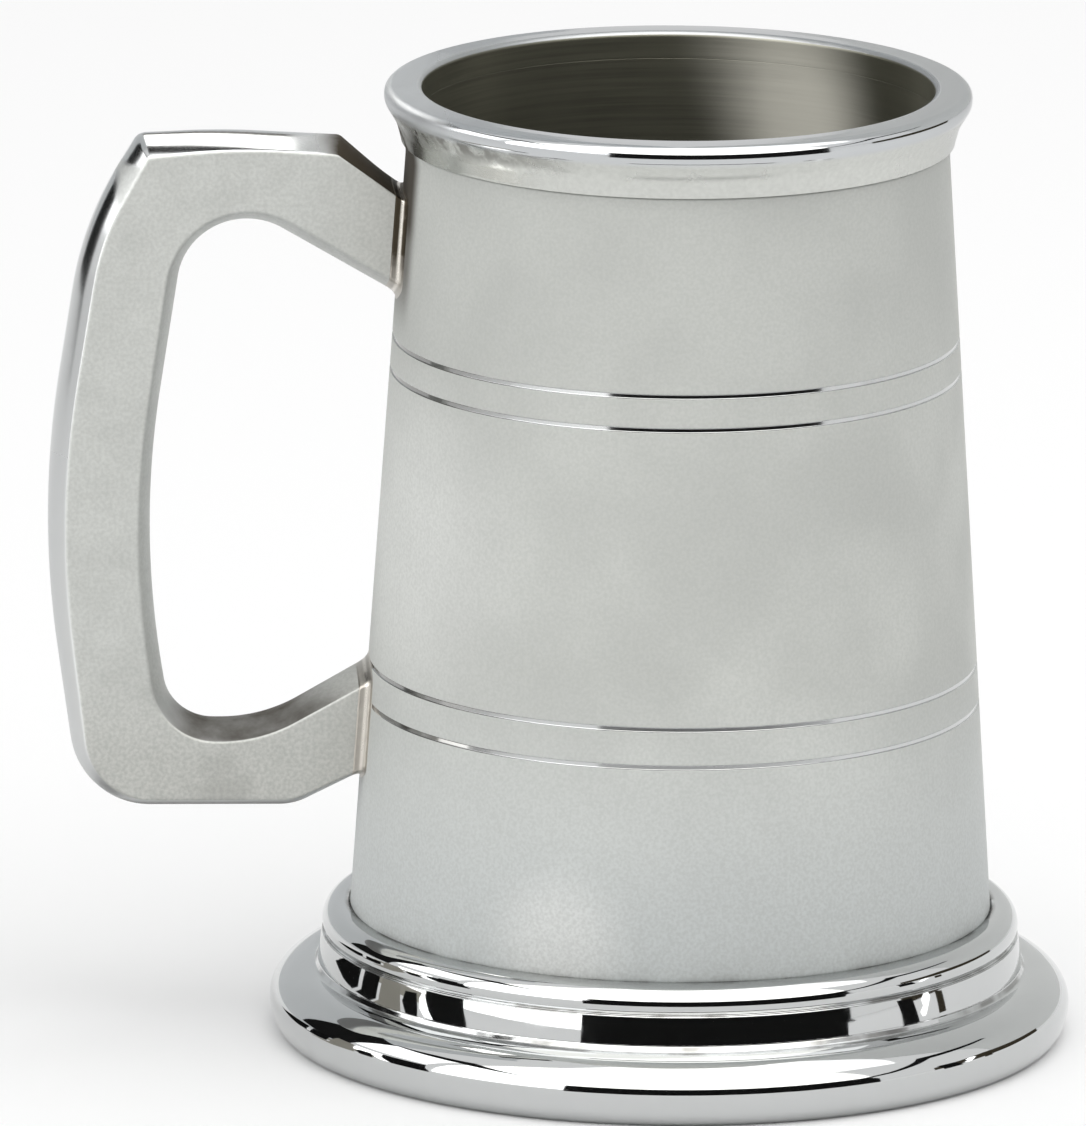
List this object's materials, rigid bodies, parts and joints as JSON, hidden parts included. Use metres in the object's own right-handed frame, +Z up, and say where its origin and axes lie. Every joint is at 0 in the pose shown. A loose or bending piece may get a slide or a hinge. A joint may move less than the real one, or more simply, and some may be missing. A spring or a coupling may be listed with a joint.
{
  "type": "tankard",
  "caption": "Tapered pewter drinking tankard with turned grooves, a flared lip, a hollow moulded foot and one flat-sided handle.",
  "frame": {"origin": "middle of the whole tankard's footprint, handle included, on the surface it stands on", "axes": "+Z up, +X from the handle towards the drum, +Y completing a right-handed frame; the drum's axis is upright at x = 0.0116, y = 0"},
  "size_m": [0.1062, 0.083, 0.1],
  "materials": {
    "satin_pewter": "satin pewter, finely turned",
    "polished_rim_pewter": "polished pewter",
    "polished_pewter": "mirror-polished pewter",
    "cast_pewter": "cast pewter, satin on the flat sides",
    "dull_floor_pewter": "dull unpolished pewter",
    "solder": "soft solder, wiped smooth"
  },
  "bodies": {
    "root": {"drum": "satin_pewter", "mouth_rim": "polished_rim_pewter", "rim_solder": "solder", "floor_disc": "dull_floor_pewter", "floor_solder": "solder", "foot_moulding": "polished_pewter", "foot_solder": "solder", "handle": "cast_pewter", "upper_handle_solder": "solder", "lower_handle_solder": "solder"}
  },
  "joints": []
}
